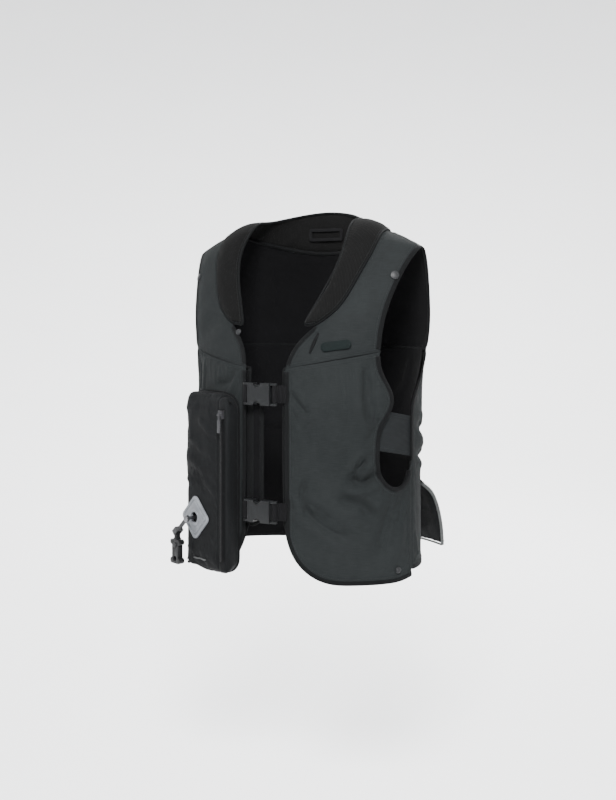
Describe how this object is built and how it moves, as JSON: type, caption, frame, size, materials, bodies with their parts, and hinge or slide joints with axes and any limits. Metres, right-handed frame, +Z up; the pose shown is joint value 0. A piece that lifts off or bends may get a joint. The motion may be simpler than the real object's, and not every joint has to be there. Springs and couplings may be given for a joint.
{
  "type": "inflatable safety vest",
  "caption": "Sleeveless inflatable safety vest with padded collar, front buckles, side straps, gas pocket with release key and coupler, and a lifting rear flap.",
  "frame": {"origin": "on the torso's upright axis at the level of the lowest hem", "axes": "+Z up towards the collar, -Y out of the wearer's front, +X towards the wearer's left"},
  "size_m": [0.384, 0.3524, 0.5401],
  "materials": {
    "shell_nylon": "plain weave nylon",
    "yoke_nylon": "smooth nylon",
    "collar_mesh": "brushed neoprene and mesh",
    "lining_mesh": "knitted mesh",
    "air_cell_film": "coated film",
    "elastic": "ribbed elastic",
    "webbing": "woven webbing",
    "buckle_plastic": "satin moulding",
    "pocket_nylon": "padded nylon",
    "zip_metal": "plated",
    "zip_tape": "coil zip",
    "cartridge_steel": "zinc plated",
    "key_box_alloy": "anodised",
    "hose_rubber": "smooth",
    "guard_plastic": "moulded",
    "key_steel": "polished",
    "key_strap": "overmoulded cord",
    "coupler_plastic": "satin moulding",
    "button_plastic": "satin moulding",
    "reflective_tape": "glass bead tape",
    "snap_metal": "black oxide",
    "patch_rubber": "soft moulding"
  },
  "bodies": {
    "vest": {"left_front_panel": "shell_nylon", "right_front_panel": "shell_nylon", "back_panel": "shell_nylon", "left_yoke": "yoke_nylon", "right_yoke": "yoke_nylon", "back_yoke": "yoke_nylon", "collar": "collar_mesh", "left_lining": "lining_mesh", "right_lining": "lining_mesh", "back_lining": "lining_mesh", "front_underflap": "lining_mesh", "left_air_cell": "air_cell_film", "right_air_cell": "air_cell_film", "back_air_cell": "air_cell_film", "left_side_strap": "elastic", "right_side_strap": "elastic", "upper_plug": "buckle_plastic", "lower_plug": "buckle_plastic", "upper_right_webbing": "webbing", "lower_right_webbing": "webbing", "pocket_cover": "pocket_nylon", "pocket_backing": "lining_mesh", "zip_track": "zip_tape", "gas_cartridge": "cartridge_steel", "key_box": "key_box_alloy", "gas_hose": "hose_rubber", "hose_port": "button_plastic", "guard_plate": "guard_plastic", "shoulder_snaps": "snap_metal", "small_snaps": "snap_metal", "chest_patch": "patch_rubber", "hang_loop": "webbing"},
    "upper_socket_half": {"upper_socket": "buckle_plastic", "upper_left_webbing": "webbing"},
    "upper_top_prong": {"upper_prong_top": "buckle_plastic"},
    "upper_bottom_prong": {"upper_prong_bottom": "buckle_plastic"},
    "lower_socket_half": {"lower_socket": "buckle_plastic", "lower_left_webbing": "webbing"},
    "lower_top_prong": {"lower_prong_top": "buckle_plastic"},
    "lower_bottom_prong": {"lower_prong_bottom": "buckle_plastic"},
    "zip_runner": {"zip_slider": "zip_metal"},
    "zip_tag": {"zip_pull": "zip_metal"},
    "key": {"release_key": "key_steel", "key_cord": "key_strap", "coupler_pin": "key_steel"},
    "coupler": {"coupler_body": "coupler_plastic"},
    "button": {"coupler_button": "button_plastic"},
    "lifting_flap": {"rear_flap": "pocket_nylon", "rear_flap_tape": "reflective_tape"}
  },
  "joints": [
    {"name": "upper_buckle_release", "type": "slide", "parent": "vest", "child": "upper_socket_half", "axis": [1, 0, 0], "range_m": [0, 0.024]},
    {"name": "upper_top_squeeze", "type": "hinge", "parent": "vest", "child": "upper_top_prong", "pos_m": [-0.018, -0.1333, 0.2796], "axis": [0, 1, 0], "range_deg": [0, 5], "stiffness_Nm_per_rad": 0.2},
    {"name": "upper_bottom_squeeze", "type": "hinge", "parent": "vest", "child": "upper_bottom_prong", "pos_m": [-0.018, -0.1333, 0.2564], "axis": [0, -1, 0], "range_deg": [0, 5], "stiffness_Nm_per_rad": 0.2},
    {"name": "lower_buckle_release", "type": "slide", "parent": "vest", "child": "lower_socket_half", "axis": [1, 0, 0], "range_m": [0, 0.024]},
    {"name": "lower_top_squeeze", "type": "hinge", "parent": "vest", "child": "lower_top_prong", "pos_m": [-0.018, -0.1333, 0.1116], "axis": [0, 1, 0], "range_deg": [0, 5], "stiffness_Nm_per_rad": 0.2},
    {"name": "lower_bottom_squeeze", "type": "hinge", "parent": "vest", "child": "lower_bottom_prong", "pos_m": [-0.018, -0.1333, 0.0884], "axis": [0, -1, 0], "range_deg": [0, 5], "stiffness_Nm_per_rad": 0.2},
    {"name": "zip_slide", "type": "slide", "parent": "vest", "child": "zip_runner", "axis": [0, 0, -1], "range_m": [0, 0.205]},
    {"name": "zip_pull_swing", "type": "hinge", "parent": "zip_runner", "child": "zip_tag", "pos_m": [-0.05876, -0.15596, 0.237], "axis": [-0.9483, 0.3173, 0], "range_deg": [0, 150]},
    {"name": "key_pull", "type": "slide", "parent": "vest", "child": "key", "axis": [-0.3173, -0.9483, 0], "range_m": [0, 0.03]},
    {"name": "coupler_swing", "type": "hinge", "parent": "key", "child": "coupler", "pos_m": [-0.14564, -0.13828, 0.058], "axis": [-0.3173, -0.9483, 0], "range_deg": [-60, 60]},
    {"name": "coupler_button_press", "type": "slide", "parent": "coupler", "child": "button", "axis": [0.3173, 0.9483, 0], "range_m": [0, 0.0015], "stiffness_N_per_m": 300},
    {"name": "rear_flap_lift", "type": "hinge", "parent": "vest", "child": "lifting_flap", "pos_m": [0, 0.131, 0.128], "axis": [1, 0, 0], "range_deg": [0, 60]}
  ],
  "couplings": [
    {"joint": "upper_bottom_squeeze", "follows": "upper_top_squeeze", "ratio": 1},
    {"joint": "lower_bottom_squeeze", "follows": "lower_top_squeeze", "ratio": 1}
  ]
}
